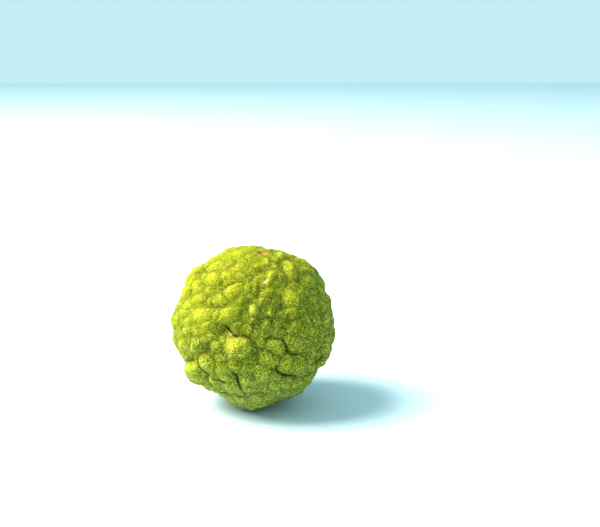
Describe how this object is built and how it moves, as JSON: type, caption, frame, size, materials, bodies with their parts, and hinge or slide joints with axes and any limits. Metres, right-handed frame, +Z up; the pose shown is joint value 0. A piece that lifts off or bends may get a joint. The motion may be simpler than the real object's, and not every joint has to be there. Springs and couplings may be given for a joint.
{
  "type": "makrut lime",
  "caption": "Whole makrut lime: a near-round citrus fruit with a densely warted rind and a sunken stem scar, standing on a small flat spot.",
  "frame": {"origin": "middle of the flat spot that the fruit rests on, straight below the middle of the fruit", "axes": "+Z up towards the stem end, -Y towards the front face"},
  "size_m": [0.0577, 0.0597, 0.0571],
  "materials": {
    "rind": "satin, yellow-green, warted citrus rind"
  },
  "bodies": {
    "root": {"makrut_lime": "rind"}
  },
  "joints": []
}
